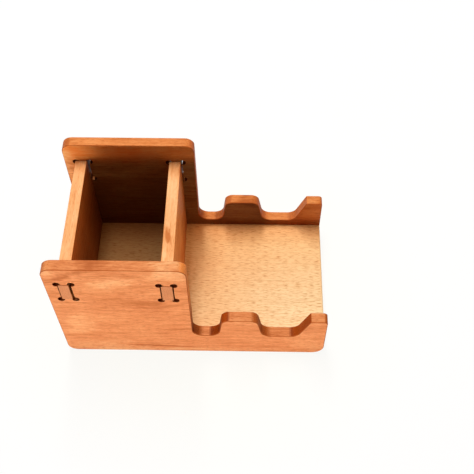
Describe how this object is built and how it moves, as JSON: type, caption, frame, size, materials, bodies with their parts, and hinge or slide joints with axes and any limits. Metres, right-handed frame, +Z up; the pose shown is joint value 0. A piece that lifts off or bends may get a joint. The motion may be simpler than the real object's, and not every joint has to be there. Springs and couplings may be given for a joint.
{
  "type": "desk pen stand",
  "caption": "Wooden desk stand with a square pen well, a low tray with round-bottomed pen notches in its sides, and a shallow drawer under the tray.",
  "frame": {"origin": "on the desk under the middle of the stand's bounding box", "axes": "+X along the cheeks from the tall pen-well end to the low tray end, where the drawer opens; +Y from the front cheek to the back cheek; +Z up"},
  "size_m": [0.215, 0.1258, 0.13],
  "materials": {
    "cheek_wood": "oiled reddish hardwood, satin",
    "wall_wood": "oiled tan hardwood, satin",
    "board_wood": "pale fine-pored hardwood, satin",
    "drawer_wood": "pale hardwood, lightly waxed",
    "panel_wood": "thin birch panel, unfinished",
    "pin_wood": "turned beech dowel"
  },
  "bodies": {
    "stand": {"front_cheek": "cheek_wood", "back_cheek": "cheek_wood", "left_wall": "wall_wood", "right_wall": "wall_wood", "tray_board": "board_wood", "end_rail": "cheek_wood", "rail_dowels": "pin_wood", "front_runner": "drawer_wood", "back_runner": "drawer_wood", "runner_pins": "pin_wood"},
    "drawer": {"drawer_front": "cheek_wood", "front_drawer_side": "drawer_wood", "back_drawer_side": "drawer_wood", "drawer_back": "drawer_wood", "drawer_bottom": "panel_wood", "drawer_pins": "pin_wood"}
  },
  "joints": [
    {"name": "drawer_slide", "type": "slide", "parent": "stand", "child": "drawer", "axis": [1, 0, 0], "range_m": [0, 0.13]}
  ]
}
